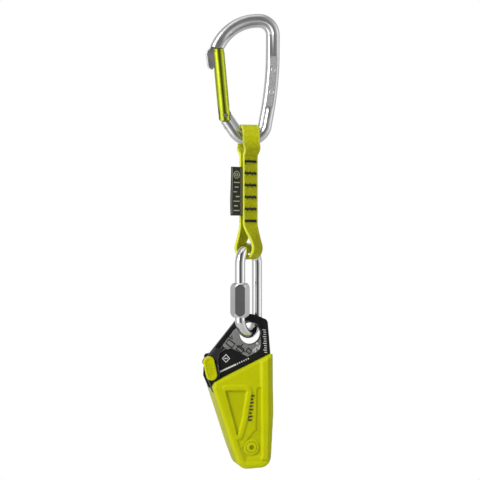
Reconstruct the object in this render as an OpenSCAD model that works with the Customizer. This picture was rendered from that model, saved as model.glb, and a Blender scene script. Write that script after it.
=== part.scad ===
/* [Carabiner] */
// Width of the carabiner's bar, in its own plane
bar_w = 10.8; // [10:0.1:11.4]
// Thickness of the bar, across its plane
bar_t = 9.2; // [8.6:0.1:9.6]
// Diameter of the solid gate
gate_d = 9.3; // [9:0.1:9.6]
// How far the gate opens, in degrees
gate_open_deg = 27; // [20:1:27]

/* [Sling] */
// Width of the webbing
webbing_w = 13; // [12:0.5:13]
// Thickness of one layer of webbing
webbing_t = 2; // [1.8:0.1:2]
// Turn of the stitched part about the vertical, in degrees
stack_yaw = 25; // [15:1:30]

/* [Quick link] */
// Diameter of the link's wire
wire_d = 8; // [7.6:0.1:8]
// Turn of the link about the vertical, in degrees
link_yaw = 46; // [45:1:47]
// Width across flats of the sleeve
sleeve_af = 13; // [12:0.1:13]
// Length of the sleeve
sleeve_len = 26.4; // [25:0.1:26.4]

/* [Brake body] */
// Thickness of the main plate
plate_t = 3.4; // [3:0.1:3.4]
// Diameter of the eye
eye_d = 16.5; // [16.3:0.1:17]
// Height of the rope channel, for ropes of up to 11 mm
channel_h = 12.4; // [12:0.1:12.6]
// Depth of the space between the two plates
channel_depth = 12.4; // [12:0.1:12.4]
// Thickness of the cover's wall
cover_wall = 1.7; // [1.4:0.1:1.8]
// Diameter of the hinge pin
hinge_pin_d = 6; // [5:0.5:6]
// How far the latch button travels
latch_travel = 2.5; // [2:0.1:2.5]

/* [Hidden] */

lime = [0.76, 0.78, 0.10];
steel = [0.80, 0.80, 0.80];
black = [0.08, 0.08, 0.09];
fit = 0.05;      // radial running clearance of a pin in its bore
gap = 0.3;       // clearance between pieces that move past each other
fine = 48;       // segments of a round face

// Carabiner: its centreline is a chain of arcs and straight lines, in the XZ plane
top_arc_c = [-1.9, -31];
top_arc_r = 36.4;
shoulder_c = [-1.9, -5.4];
shoulder_r = 10.8;
spine_start_z = -16.7;
spine_r = 274;
spine_turn = 12.5;
bend_c = [-10.3, -73.2];
bend_r = 13.2;
bend_end = -144.3;
pivot = [-29.6, -68.6];
gate_lean = 5.4;
gate_len = 51.6;
rivet_r = 1.6;
plunger_r = 2.6;
tongue_half = 2.1;
slot_half = 2.4;
nose_half = 1.9;

// Sling: the upper loop hangs on the bend, the lower loop carries the link
sling_x = -10.4;
upper_z = -86.3;
upper_in_r = 9;
lower_z = -171;
lower_in_r = 6.9;
stack_top_z = -99;
stack_bottom_z = -153;
layer_pitch = webbing_t + 0.1;

// Quick link
bow_r = 12.5;
bow_z = 20.5;
link_z = lower_z - bow_r - bow_z;
sleeve_top_z = link_z + 6.2;
stub_top_z = link_z - 17;
gap_top_z = stub_top_z + 9.8;

// Brake body: Y runs away from the front; the main plate lies around Y = 0
plate_f = -plate_t / 2;
plate_b = plate_t / 2;
swing_f = plate_b + channel_depth + 0.3;
swing_t = 3;
swing_b = swing_f + swing_t;
front_y = -6.6;
rim_y = -8.4;
rear_y = swing_b + 4.2;
split_y = swing_f - 0.7;
block_y = swing_f - 0.5;
eye = [-9.6, -237];
channel_c = [-40.9, -273];
channel_dir = [0.907, 0.421];
channel_n = [-0.421, 0.907];
hinge = [-9.3, -324.7];
latch_rest = [-40.4, -260];
latch_dir = [0.978, 0.209];
latch_end = latch_rest + latch_dir * latch_travel;
latch_pin_r = 2;

// Outlines as [x, z, corner radius], counter-clockwise
cover_pts = [[-38, -274, 1], [-39.9, -278, 2], [-25, -323.5, 40], [-18.2, -341.6, 8],
    [6, -340.4, 9], [8.2, -300, 40], [7.7, -252.3, 1.2]];
plate_pts = [[-14.2, -218.8, 15.1], [-43.1, -254.2, 3], [-43.6, -270.5, 2], [-38.9, -280.6, 1.5],
    [-35.9, -284.6, 8], [-22.9, -322.5, 30], [-15.6, -337.8, 7], [3.2, -337, 8], [5.6, -300, 40],
    [6.6, -252, 20], [4.5, -226.9, 4]];
swing_pts = [[-42.3, -253.8, 2], [-43.2, -270.5, 2], [-38.9, -280.6, 1.5], [-35.9, -284.6, 8],
    [-22.9, -322.5, 30], [-15.6, -337.8, 7], [3.2, -337, 8], [5.6, -300, 40], [6.4, -245.5, 3]];

// ---- Plane geometry ----
function unit(v) = v / norm(v);
function xz(p) = [p.x, p.y];
function arc(c, r, a0, a1, n) =
    [for (i = [0:n]) let (a = a0 + (a1 - a0) * i / n) c + r * [cos(a), sin(a)]];
function corner(a, p, b, r, n) =
    let (u = unit(a - p), v = unit(b - p), half = acos(u * v) / 2)
    let (c = p + unit(u + v) * r / sin(half), s = p + u * r / tan(half), e = p + v * r / tan(half))
    let (a0 = atan2(s.y - c.y, s.x - c.x), a1 = atan2(e.y - c.y, e.x - c.x))
    let (turn = (a1 - a0 + 540) % 360 - 180)
    arc(c, r, a0, a0 + turn, n);
function rounded(pts, n = 6) = let (m = len(pts))
    [for (i = [0:m - 1]) let (p = pts[i])
        each p.z > 0 ? corner(xz(pts[(i + m - 1) % m]), xz(p), xz(pts[(i + 1) % m]), p.z, n) : [xz(p)]];
function inset(pts, t) = let (m = len(pts))
    [for (i = [0:m - 1])
        let (p = xz(pts[i]), u = unit(p - xz(pts[(i + m - 1) % m])), v = unit(xz(pts[(i + 1) % m]) - p))
        let (q = p + ([-u.y, u.x] + [-v.y, v.x]) * t / (1 + u * v))
        [q.x, q.y, max(0, pts[i].z - t * sign(u.x * v.y - u.y * v.x))]];
// A point of the rope channel: a along it, h above its middle line
function channel(a, h) = channel_c + channel_dir * a + channel_n * h;
function smooth(a, b, z) = let (t = max(0, min(1, (z - a) / (b - a)))) t * t * (3 - 2 * t);

// ---- Solids from outlines ----
module slab(y0, y1) {
    translate([0, y1, 0]) rotate([90, 0, 0]) linear_extrude(y1 - y0) children();
}
module pin_y(p, r, y0, y1) {
    translate([p.x, y1, p.y]) rotate([90, 0, 0]) cylinder(h = y1 - y0, r = r, $fn = fine);
}
module stadium(a, b, r) {
    t = atan2(b.y - a.y, b.x - a.x);
    polygon(concat(arc(a, r, t + 90, t + 270, 12), arc(b, r, t - 90, t + 90, 12)));
}
module strip(a0, a1, h0, h1) {
    polygon([channel(a0, h0), channel(a1, h0), channel(a1, h1), channel(a0, h1)]);
}
// A closed tube of rings; each ring is a list of points, and loop joins the last ring to the first
module skin(rings, loop = false) {
    n = len(rings);
    k = len(rings[0]);
    last = loop ? n - 1 : n - 2;
    sides = [for (i = [0:last]) for (j = [0:k - 1])
        let (a = i * k + j, b = i * k + (j + 1) % k)
        let (c = ((i + 1) % n) * k + (j + 1) % k, d = ((i + 1) % n) * k + j)
        each [[a, b, c], [a, c, d]]];
    caps = loop ? [] : [[for (j = [k - 1:-1:0]) j], [for (j = [0:k - 1]) (n - 1) * k + j]];
    polyhedron(points = [for (r = rings) each r], faces = concat(sides, caps), convexity = 8);
}
// A coil spring drawn as separate turns along +Z
module coil(r, wire, turns, length) {
    for (i = [0:turns - 1])
        translate([0, 0, wire + i * (length - 2 * wire) / (turns - 1)])
            rotate_extrude($fn = 32) translate([r, 0]) circle(r = wire, $fn = 16);
}

// ---- Carabiner ----
bar_path = concat(
    arc(top_arc_c, top_arc_r, 158, 94, 10),
    arc(shoulder_c, shoulder_r, 90, 0, 7),
    arc([shoulder_c.x + shoulder_r - spine_r, spine_start_z], spine_r, -1.5, 0.8 - spine_turn, 5),
    arc(bend_c, bend_r, -15, bend_end, 10),
    [pivot + unit(bend_c + bend_r * [cos(bend_end), sin(bend_end)] - pivot) * 3]);
// the bar's section is a rounded rectangle
function squared(v) = sign(v) * pow(abs(v), 0.75);
function bar_ring(i) =
    let (n = len(bar_path), d = unit(bar_path[min(n - 1, i + 1)] - bar_path[max(0, i - 1)]))
    [for (a = [15:30:345])
        let (p = bar_path[i] + [-d.y, d.x] * bar_w / 2 * squared(cos(a)))
        [p.x, bar_t / 2 * squared(sin(a)), p.y]];

module gate_frame() {
    translate([pivot.x, 0, pivot.y]) rotate([0, -gate_lean, 0]) children();
}
module cam_outline() {
    a = 90 + gate_lean - 75;
    translate(pivot + 1.3 * [cos(a), sin(a)]) circle(r = 4, $fn = fine);
}

module carabiner_body() color(steel) {
    tip_gap = 0.65;
    tip_from = 72;
    tip_to = 112;
    difference() {
        union() {
            difference() {
                skin([for (i = [0:len(bar_path) - 1]) bar_ring(i)]);
                // room for the two cheeks of the gate, closed and open
                pin_y(pivot, 5.3, -10, 10);
                for (a = [0, 14, gate_open_deg])
                    translate([pivot.x, 0, pivot.y]) rotate([0, a - gate_lean, 0])
                        cylinder(h = 20, r = gate_d / 2 + gap, $fn = fine);
                // the bar ends on the circle that the gate's tip swings along
                slab(-10, 10) polygon(concat([pivot + [-14, 36], pivot + [10, 36]],
                    arc(pivot, gate_len + tip_gap, tip_from, tip_to, 8)));
            }
            slab(-tongue_half, tongue_half) cam_outline();
            slab(-tongue_half, tongue_half)
                polygon([pivot + [-3.2, -2.4], pivot + [0.5, -10.5], pivot + [8.5, -6.3],
                    pivot + [5, -0.5]]);
            // keylock nose
            slab(-nose_half, nose_half) polygon(rounded([[-33.5, -11, 0], [-39.6, -14.4, 0.5],
                [-44.2, -20.5, 4], [-42.6, -31.8, 3], [-39.2, -33.8, 1], [-36.1, -29.5, 1.5],
                [-37.6, -24.5, 1.5], [-34.6, -18, 0.5]]));
        }
        pin_y(pivot, rivet_r + fit, -10, 10);
        // sunk panels on both faces of the spine
        for (y = [-bar_t / 2 - 1, bar_t / 2 - 0.4])
            slab(y, y + 1.4) polygon([[6.4, -22], [11.4, -22], [9.6, -61], [4.6, -61]]);
    }
}
module carabiner_gate() color(lime) {
    difference() {
        intersection() {
            gate_frame() translate([0, 0, -6]) cylinder(h = gate_len + 6, d = gate_d, $fn = fine);
            union() {
                pin_y(pivot, gate_d / 2 + 0.1, -10, 10);
                gate_frame() translate([-10, -10, 0]) cube([20, 20, gate_len]);
            }
        }
        // slot for the body's tongue, with room for its whole swing
        gate_frame() translate([-10, -slot_half, -10]) cube([20, 2 * slot_half, 16.2]);
        pin_y(pivot, rivet_r, -10, 10);
        gate_frame() cylinder(h = 34, r = plunger_r, $fn = fine);
        // keylock slot, open towards the outside and the top
        slab(-slot_half, slot_half) polygon([[-50, -10], [-33.6, -10], [-33.9, -17.5], [-36.9, -24.5],
            [-35.3, -29.5], [-38.4, -34.6], [-50, -34.6]]);
    }
}
module gate_rivet() color(steel) {
    pin_y(pivot, rivet_r, -gate_d / 2 + 0.3, gate_d / 2 - 0.3);
}
module gate_plunger() color(steel) {
    foot = 4.4;
    head = 10.05;
    gate_frame() translate([0, 0, foot]) {
        cylinder(h = head, r = plunger_r - fit, $fn = fine);
        translate([0, 0, head]) cylinder(h = 4, r = 1.2, $fn = fine);
    }
}
module gate_spring() color(steel) {
    gate_frame() translate([0, 0, 14.5]) coil(2, 0.35, 9, 19.4);
}

// ---- Sling ----
function yaw_at(z) = z > stack_top_z ? stack_yaw * smooth(-89, stack_top_z, z)
    : stack_yaw + (link_yaw - stack_yaw) * smooth(-152, -167, z);
function tangent_angle(e, c, r) = let (d = e - c) atan2(d.y, d.x) + acos(r / norm(d));
function webbing_ring(p, n) = let (a = yaw_at(p.y), w = webbing_w / 2, t = webbing_t / 2)
    [for (q = [[w, t * 0.5], [w * 0.97, t], [-w * 0.97, t], [-w, t * 0.5], [-w, -t * 0.5], [-w * 0.97, -t],
            [w * 0.97, -t], [w, -t * 0.5]])
        let (u = p.x + n.x * q.y, z = p.y + n.y * q.y)
        [sling_x + q.x * cos(a) - u * sin(a), q.x * sin(a) + u * cos(a), z]];
module sling_webbing() color(lime) {
    up_r = upper_in_r + webbing_t / 2;
    low_r = lower_in_r + webbing_t / 2;
    a_up = tangent_angle([layer_pitch, stack_top_z], [0, upper_z], up_r);
    a_low = 180 - tangent_angle([-layer_pitch, stack_bottom_z], [0, lower_z], low_r);
    path = concat(
        arc([0, upper_z], up_r, a_up, 180 - a_up, 16),
        [for (t = [0.35, 0.7]) [-cos(a_up) * up_r, upper_z + sin(a_up) * up_r] * (1 - t)
            + [-layer_pitch, stack_top_z] * t],
        [for (z = [stack_top_z, (stack_top_z + stack_bottom_z) / 2, stack_bottom_z]) [-layer_pitch, z]],
        [for (t = [0.35, 0.7]) [-layer_pitch, stack_bottom_z] * (1 - t)
            + [-cos(a_low) * low_r, lower_z + sin(a_low) * low_r] * t],
        arc([0, lower_z], low_r, 180 - a_low, 360 + a_low, 16),
        [for (t = [0.3, 0.65]) [cos(a_low) * low_r, lower_z + sin(a_low) * low_r] * (1 - t)
            + [layer_pitch, stack_bottom_z] * t],
        [for (z = [stack_bottom_z, (stack_top_z + stack_bottom_z) / 2, stack_top_z]) [layer_pitch, z]],
        [for (t = [0.3, 0.65]) [layer_pitch, stack_top_z] * (1 - t)
            + [cos(a_up) * up_r, upper_z + sin(a_up) * up_r] * t]);
    m = len(path);
    skin([for (i = [0:m - 1]) let (d = unit(path[(i + 1) % m] - path[(i + m - 1) % m]))
        webbing_ring(path[i], [-d.y, d.x])], loop = true);
}
module stack_frame() {
    translate([sling_x, 0, 0]) rotate([0, 0, stack_yaw]) children();
}
module sling_overlap() color(lime) {
    stack_frame() translate([-4.4, -webbing_t / 2, stack_bottom_z + 1])
        cube([4.4 + webbing_w / 2, webbing_t, stack_top_z - stack_bottom_z - 3]);
}
module sling_bar_tacks() color(black) {
    tack_w = 11.3;
    tack_h = 2;
    tack_proud = 0.45;
    tack_x = -0.6;
    tack_top_z = -104;
    tack_pitch = 9.2;
    face = layer_pitch + webbing_t / 2 + 0.05;
    stack_frame() for (i = [0:5]) for (y = [-face - tack_proud, face])
        translate([tack_x - tack_w / 2, y, tack_top_z - i * tack_pitch - tack_h / 2])
            cube([tack_w, tack_proud, tack_h]);
}
module sling_label() color(black) {
    label_out = 10.6;
    label_len = 37.6;
    label_t = 0.9;
    stack_frame() translate([-webbing_w / 2 - label_out, -label_t / 2, -127.2 - label_len / 2])
        cube([label_out + 1.9, label_t, label_len]);
}

// ---- Quick link ----
module link_frame() {
    translate([sling_x, 0, link_z]) rotate([0, 0, link_yaw]) children();
}
module quick_link_body() color(steel) {
    r = wire_d / 2;
    link_frame() {
        for (s = [1, -1]) translate([0, 0, s * bow_z]) rotate([90, 0, 0])
            rotate([0, 0, s > 0 ? 0 : 180]) rotate_extrude(angle = 180, $fn = fine) translate([bow_r, 0])
                circle(r = r, $fn = fine);
        translate([bow_r, 0, -bow_z]) cylinder(h = 2 * bow_z, r = r, $fn = fine);
        translate([-bow_r, 0, -bow_z]) cylinder(h = stub_top_z - link_z + bow_z, r = r, $fn = fine);
        translate([-bow_r, 0, gap_top_z - link_z])
            cylinder(h = bow_z - gap_top_z + link_z, r = r, $fn = fine);
    }
}
module quick_link_sleeve() color(steel) {
    corner_r = sleeve_af / 2 / cos(30);
    chamfer = 3.4;
    link_frame() translate([-bow_r, 0, sleeve_top_z - link_z - sleeve_len]) difference() {
        intersection() {
            rotate([0, 0, -link_yaw - 12]) cylinder(h = sleeve_len, r = corner_r, $fn = 6);
            rotate_extrude($fn = fine) polygon([[0, 0], [corner_r - 1.7, 0], [corner_r, chamfer],
                [corner_r, sleeve_len - chamfer], [corner_r - 1.7, sleeve_len], [0, sleeve_len]]);
        }
        translate([0, 0, -1]) cylinder(h = sleeve_len + 2, r = wire_d / 2 + fit, $fn = fine);
    }
}

// ---- Brake body, fixed half ----
block_holes = [[-30, -284.5], [-2, -272], [-17, -287]];
cover_holes = [[-27.4, -300.5], [1, -318]];
stop_at = [1.5, -303];
module screw(p, y_head, y_end, r, dir) {
    pin_y(p, r, min(y_head, y_end), max(y_head, y_end));
    pin_y(p, r * 1.8, min(y_head, y_head - dir * 1.5), max(y_head, y_head - dir * 1.5));
}
module main_plate() color(black) {
    difference() {
        slab(plate_f, plate_b) polygon(rounded(plate_pts, 8));
        pin_y(eye, eye_d / 2, -10, 10);
        pin_y(hinge, hinge_pin_d / 2, -10, 10);
        slab(-10, 10) stadium(latch_rest, latch_end, latch_pin_r + gap);
        for (p = block_holes) pin_y(p, 1.6, -10, 10);
        for (p = cover_holes) pin_y(p, 1.6, -10, 10);
        pin_y(stop_at, 1.5, -10, 10);
    }
}
recess_pts = [[-29.9, -280.9, 0.6], [-20.4, -316, 0.8], [-16.6, -303, 1], [-12.3, -281, 0.6]];
pocket_pts = [[-16.8, -324.9, 1], [-13.3, -333.3, 1], [-2.8, -331.6, 1], [-2.2, -322, 1],
    [-9.3, -317.6, 1.5]];
// the covers stand back from the rope's mouth, where the hardened lip is
mouth_end = 2.6;
mouth_depth = 9.9;
module front_cover() color(lime) {
    inner = rounded(inset(cover_pts, cover_wall));
    difference() {
        union() {
            slab(front_y, split_y) polygon(rounded(cover_pts));
            // raised rims along the left side, the right side and around the recess
            slab(rim_y + 0.8, front_y) polygon(rounded([[-36.6, -276, 1], [-37.6, -278.8, 1],
                [-17.6, -338, 4], [-12, -338.3, 0.5], [-20, -318, 1], [-31, -279.5, 0.5],
                [-12.5, -279.5, 0.5], [-14, -275.5, 1]]));
            slab(rim_y, front_y) polygon([[-1, -258], [3.4, -255.8], [3.8, -334], [-0.8, -334]]);
            slab(rim_y + 0.6, front_y) polygon(rounded([[-11, -279.5, 1.2], [-14.8, -304, 2], [-20, -318, 0.8],
                [-17, -322.5, 1], [-8, -311, 2], [-4.9, -279.5, 2.4]]));
        }
        difference() {
            slab(front_y + 2, split_y + 1) polygon(inner);
            for (p = cover_holes) pin_y(p, 3.4, -10, plate_f);
            pin_y(hinge, 6, -10, plate_f - 2);
            slab(-10, plate_f) strip(-10, 70, -9, -6.6);
        }
        // the half above the plate is open, so that the plate can pass and the rope can run
        slab(plate_f, split_y + 1) strip(-10, 70, -channel_h / 2, 30);
        slab(front_y - 0.01, plate_f + 0.01) strip(-10, 70, 3, 30);
        slab(plate_f, split_y + 1) strip(-10, mouth_end, -mouth_depth, 0);
        slab(plate_f, plate_b) polygon(rounded(inset(plate_pts, -fit), 8));
        slab(-10, front_y + 1.2) polygon(rounded(recess_pts));
        slab(-10, front_y + 1) polygon(rounded(pocket_pts));
        for (p = cover_holes) pin_y(p, 1.25, -5, plate_f + 1);
        pin_y(hinge, 4.2, -10, 0);
    }
}
module brake_block() color([0.45, 0.45, 0.47]) {
    groove = 3;
    mid_y = (plate_b + swing_f) / 2;
    difference() {
        slab(plate_b, block_y) polygon([channel(1, -channel_h / 2), channel(1.3, -channel_h / 2 - 2.4),
            [-32.4, -292], [-24, -296], [-10, -294], [5.2, -280], channel(48.6, -channel_h / 2)]);
        // V-groove that pinches the rope, along the channel
        translate([channel_c.x, mid_y, channel_c.y]) rotate([0, -atan2(channel_dir.y, channel_dir.x), 0])
            translate([0, 0, -channel_h / 2 - groove]) rotate([0, 90, 0]) rotate([0, 0, 90])
                translate([0, 0, 6]) linear_extrude(60)
                    polygon([[0, 0], [-5, groove + 1], [5, groove + 1]]);
        for (p = block_holes) pin_y(p, 1.6, -10, 10.5);
    }
}
module wear_plate() color(steel) {
    // hardened steel lip of the rope mouth, on the left edge
    slab(plate_b + 0.4, block_y - 0.2) strip(-1.9, 0.9, -channel_h / 2 - 3.4, -channel_h / 2);
}
module upper_guide() color([0.45, 0.45, 0.47]) {
    top = channel_h / 2;
    difference() {
        slab(plate_b, block_y) polygon([channel(1, top), channel(50.5, top), channel(50, top + 3),
            channel(19, top + 3), [-24.8, -250.6], [-31, -250.2], [-41.6, -256.4]]);
        slab(-1, 30) stadium(latch_rest, latch_end, latch_pin_r + gap);
        translate([latch_end.x, 6, latch_end.y]) rotate([0, 90 - atan2(latch_dir.y, latch_dir.x), 0])
            cylinder(h = 10, r = 2.3, $fn = fine);
    }
}
module latch_housing() color(black) {
    difference() {
        slab(plate_f - 2, plate_f) polygon(rounded([[-42.6, -254.6, 2.5], [-43.1, -269.6, 1],
            [-39.3, -273.8, 0.5], [-34.6, -271.9, 1], [-36.9, -260, 8], [-32.4, -248.6, 1],
            [-37.2, -247.6, 1]]));
        slab(-10, 10) stadium(latch_rest, latch_end, latch_pin_r + gap);
    }
}
module latch_spring() color(steel) {
    translate([latch_rest.x, 6, latch_rest.y]) rotate([0, 90 - atan2(latch_dir.y, latch_dir.x), 0])
        translate([0, 0, latch_pin_r + 0.1]) coil(1.7, 0.3, 6, 10.2);
}
module hinge_pin() color(steel) {
    pin_y(hinge, hinge_pin_d / 2, plate_f - 1.4, swing_b + 2.2);
    pin_y(hinge, hinge_pin_d / 2 + 1.4, plate_f - 1.4, plate_f);
}
module hinge_bush() color([0.72, 0.58, 0.30]) {
    difference() {
        pin_y(hinge, 6, plate_b, swing_f - 0.2);
        pin_y(hinge, hinge_pin_d / 2 + fit, -10, 30);
    }
}
module hinge_cap() color(lime) {
    difference() {
        pin_y(hinge, 4.1, front_y - 0.4, plate_f - 1.6);
        translate([hinge.x, front_y + 1.2, hinge.y]) rotate([90, 0, 0]) cylinder(h = 5, r = 1.9, $fn = 6);
    }
}
module stop_pin() color(steel) pin_y(stop_at, 1.5, plate_f, block_y);
module block_screws() color(steel) {
    for (p = block_holes) screw(p, plate_f, 10, 1.5, 1);
}
module front_cover_screws() color(steel) {
    for (p = cover_holes) screw(p, plate_b, plate_f - 3, 1.2, -1);
}

// ---- Brake body, swinging half ----
rear_holes = [[-28, -296], [1, -296]];
module swing_plate() color(black) {
    exit = latch_rest - unit([0.913, 0.407]) * 12;
    difference() {
        slab(swing_f, swing_b) polygon(rounded(swing_pts, 8));
        pin_y(hinge, hinge_pin_d / 2 + fit, -10, 40);
        slab(0, 40) stadium(latch_rest, latch_end, latch_pin_r + 0.5);
        slab(0, 40) stadium(exit, latch_rest, latch_pin_r + 0.5);
        for (p = rear_holes) pin_y(p, 1.6, 0, 40);
        for (p = rear_holes) pin_y(p, 2.3, 0, swing_f + 1.3);
    }
}
module rear_cover() color(lime) {
    difference() {
        slab(split_y + gap, rear_y) polygon(rounded(cover_pts));
        difference() {
            slab(split_y, rear_y - 1.8) polygon(rounded(inset(cover_pts, cover_wall)));
            for (p = rear_holes) pin_y(p, 3.4, swing_b, 40);
            slab(swing_b, 40) strip(-10, 70, -9, -6.6);
        }
        slab(0, swing_b) strip(-10, 70, -channel_h / 2, 30);
        slab(0, swing_b) strip(-10, mouth_end, -mouth_depth, 0);
        slab(0, swing_b) polygon(rounded(inset(swing_pts, -fit), 8));
        slab(0, 40) strip(-10, 70, 3, 30);
        for (p = rear_holes) pin_y(p, 1.25, swing_b - 1, swing_b + 3);
        slab(rear_y - 0.8, 40)
            polygon(rounded([[-31, -283, 2], [-14.5, -330, 3], [-1, -330, 3], [1.5, -268, 2]]));
    }
}
module rear_cover_screws() color(steel) {
    for (p = rear_holes) screw(p, swing_f + 1.3, swing_b + 2.9, 1.2, 0.7);
}
module hinge_washer() color(steel) {
    difference() {
        pin_y(hinge, 5.4, swing_b, swing_b + 1);
        pin_y(hinge, hinge_pin_d / 2 + fit, -10, 40);
    }
}

// ---- Latch ----
module latch_button() color(lime) {
    tilt = unit([-0.209, 0.978]);
    mid = [-41.7, -263.4];
    difference() {
        slab(plate_f - 5.2, plate_f - 2.15) stadium(mid + tilt * 5.1, mid - tilt * 5.1, 4.65);
        pin_y(latch_rest, latch_pin_r, plate_f - 3.4, 0);
    }
}
module latch_pin() color(steel) pin_y(latch_rest, latch_pin_r, plate_f - 3.4, swing_b + 1.6);
module latch_ring() color(steel) {
    difference() {
        pin_y(latch_rest, 3.2, swing_b + 0.3, swing_b + 1.2);
        pin_y(latch_rest, latch_pin_r, 0, 40);
    }
}

carabiner_body();
carabiner_gate();
gate_rivet();
gate_plunger();
gate_spring();
sling_webbing();
sling_overlap();
sling_bar_tacks();
sling_label();
quick_link_body();
quick_link_sleeve();
main_plate();
front_cover();
brake_block();
wear_plate();
upper_guide();
latch_housing();
latch_spring();
hinge_pin();
hinge_bush();
hinge_cap();
stop_pin();
block_screws();
front_cover_screws();
swing_plate();
rear_cover();
rear_cover_screws();
hinge_washer();
latch_button();
latch_pin();
latch_ring();
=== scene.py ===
import math
import bmesh
import bpy
import numpy as np
from mathutils import Matrix, Vector


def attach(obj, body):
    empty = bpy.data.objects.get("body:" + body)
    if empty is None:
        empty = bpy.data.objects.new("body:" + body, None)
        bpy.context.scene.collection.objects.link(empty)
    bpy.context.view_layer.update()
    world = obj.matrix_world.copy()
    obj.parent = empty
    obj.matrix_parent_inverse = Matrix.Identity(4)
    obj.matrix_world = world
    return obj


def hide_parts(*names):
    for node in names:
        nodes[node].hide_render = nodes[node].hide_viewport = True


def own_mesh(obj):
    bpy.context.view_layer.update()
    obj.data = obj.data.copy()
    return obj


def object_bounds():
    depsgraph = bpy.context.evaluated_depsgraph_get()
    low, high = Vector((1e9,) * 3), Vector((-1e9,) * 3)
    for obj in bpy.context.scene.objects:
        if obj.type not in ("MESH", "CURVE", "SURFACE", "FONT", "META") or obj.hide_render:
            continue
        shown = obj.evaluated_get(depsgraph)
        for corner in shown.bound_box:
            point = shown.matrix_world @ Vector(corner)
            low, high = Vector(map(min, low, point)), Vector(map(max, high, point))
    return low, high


# All lengths below are millimetres in the CAD frame: X right, Z up, +Y away from the viewer.
MM = 0.001
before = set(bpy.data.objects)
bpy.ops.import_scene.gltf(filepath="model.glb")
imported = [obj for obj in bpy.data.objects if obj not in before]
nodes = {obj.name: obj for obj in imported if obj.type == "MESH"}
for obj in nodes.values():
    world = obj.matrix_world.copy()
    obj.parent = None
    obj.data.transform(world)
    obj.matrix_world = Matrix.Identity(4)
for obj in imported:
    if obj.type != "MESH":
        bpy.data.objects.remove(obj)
cad_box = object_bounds()
scene = bpy.context.scene


# ---- Plane geometry ----
def unit(v):
    v = np.asarray(v, float)
    return v / np.linalg.norm(v)


def arc(c, r, a0, a1, n):
    return [np.asarray(c, float) + r * np.array([math.cos(math.radians(a0 + (a1 - a0) * i / n)),
                                                 math.sin(math.radians(a0 + (a1 - a0) * i / n))])
            for i in range(n + 1)]


def rounded(points, n=8):
    out = []
    for i, (x, z, r) in enumerate(points):
        p = np.array([x, z], float)
        if r <= 0:
            out.append(p)
            continue
        a = np.array(points[i - 1][:2], float)
        b = np.array(points[(i + 1) % len(points)][:2], float)
        u, v = unit(a - p), unit(b - p)
        half = math.acos(max(-1, min(1, float(u @ v)))) / 2
        centre = p + unit(u + v) * r / math.sin(half)
        start, end = p + u * r / math.tan(half), p + v * r / math.tan(half)
        a0 = math.degrees(math.atan2(*(start - centre)[::-1]))
        a1 = math.degrees(math.atan2(*(end - centre)[::-1]))
        out += arc(centre, r, a0, a0 + (a1 - a0 + 540) % 360 - 180, n)
    return out


def stadium(a, b, r, n=12):
    a, b = np.asarray(a, float), np.asarray(b, float)
    t = math.degrees(math.atan2(*(b - a)[::-1]))
    return arc(a, r, t + 90, t + 270, n) + arc(b, r, t - 90, t + 90, n)


def circle(c, r, n=48):
    return arc(c, r, 0, 360, n)[:-1]


def distance_to(poly, x, z):
    """Signed distance to a closed outline, negative inside, for arrays of points."""
    poly = [np.asarray(p, float)[:2] for p in poly]
    best = np.full(np.shape(x), 1e9)
    inside = np.zeros(np.shape(x), bool)
    for a, b in zip(poly, poly[1:] + poly[:1]):
        ex, ez = b - a
        t = np.clip(((x - a[0]) * ex + (z - a[1]) * ez) / (ex * ex + ez * ez + 1e-12), 0, 1)
        best = np.minimum(best, np.hypot(x - a[0] - t * ex, z - a[1] - t * ez))
        crosses = (a[1] > z) != (b[1] > z)
        with np.errstate(divide="ignore", invalid="ignore"):
            at = a[0] + (z - a[1]) * ex / np.where(ez == 0, 1e-12, ez)
        inside ^= crosses & (x < at)
    return np.where(inside, -best, best)


def ease(value, width):
    """1 well below zero, 0 well above it, smooth across width."""
    t = np.clip(0.5 - value / width, 0, 1)
    return t * t * (3 - 2 * t)


# ---- Materials ----
def put(tree, kind, inputs=(), **settings):
    """A new shader node; each input gets a value, or a link where an output socket is given."""
    new = tree.nodes.new("ShaderNode" + kind)
    for key, value in settings.items():
        setattr(new, key, value)
    for key, value in dict(inputs).items():
        if isinstance(value, bpy.types.NodeSocket):
            tree.links.new(value, new.inputs[key])
        else:
            new.inputs[key].default_value = value
    return new


def product(tree, colour, share):
    mix = put(tree, "Mix", {"Factor": 1, "A": colour, "B": share}, data_type="RGBA", blend_type="MULTIPLY")
    return mix.outputs["Result"]


def grey_steps(ramp, steps):
    """Greys along a colour ramp; the first and the last step are its two ends."""
    for end, (_, value) in ((0, steps[0]), (1, steps[-1])):
        ramp.elements[end].color = (value, value, value, 1)
    for at, value in steps[1:-1]:
        ramp.elements.new(at).color = (value, value, value, 1)


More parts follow.
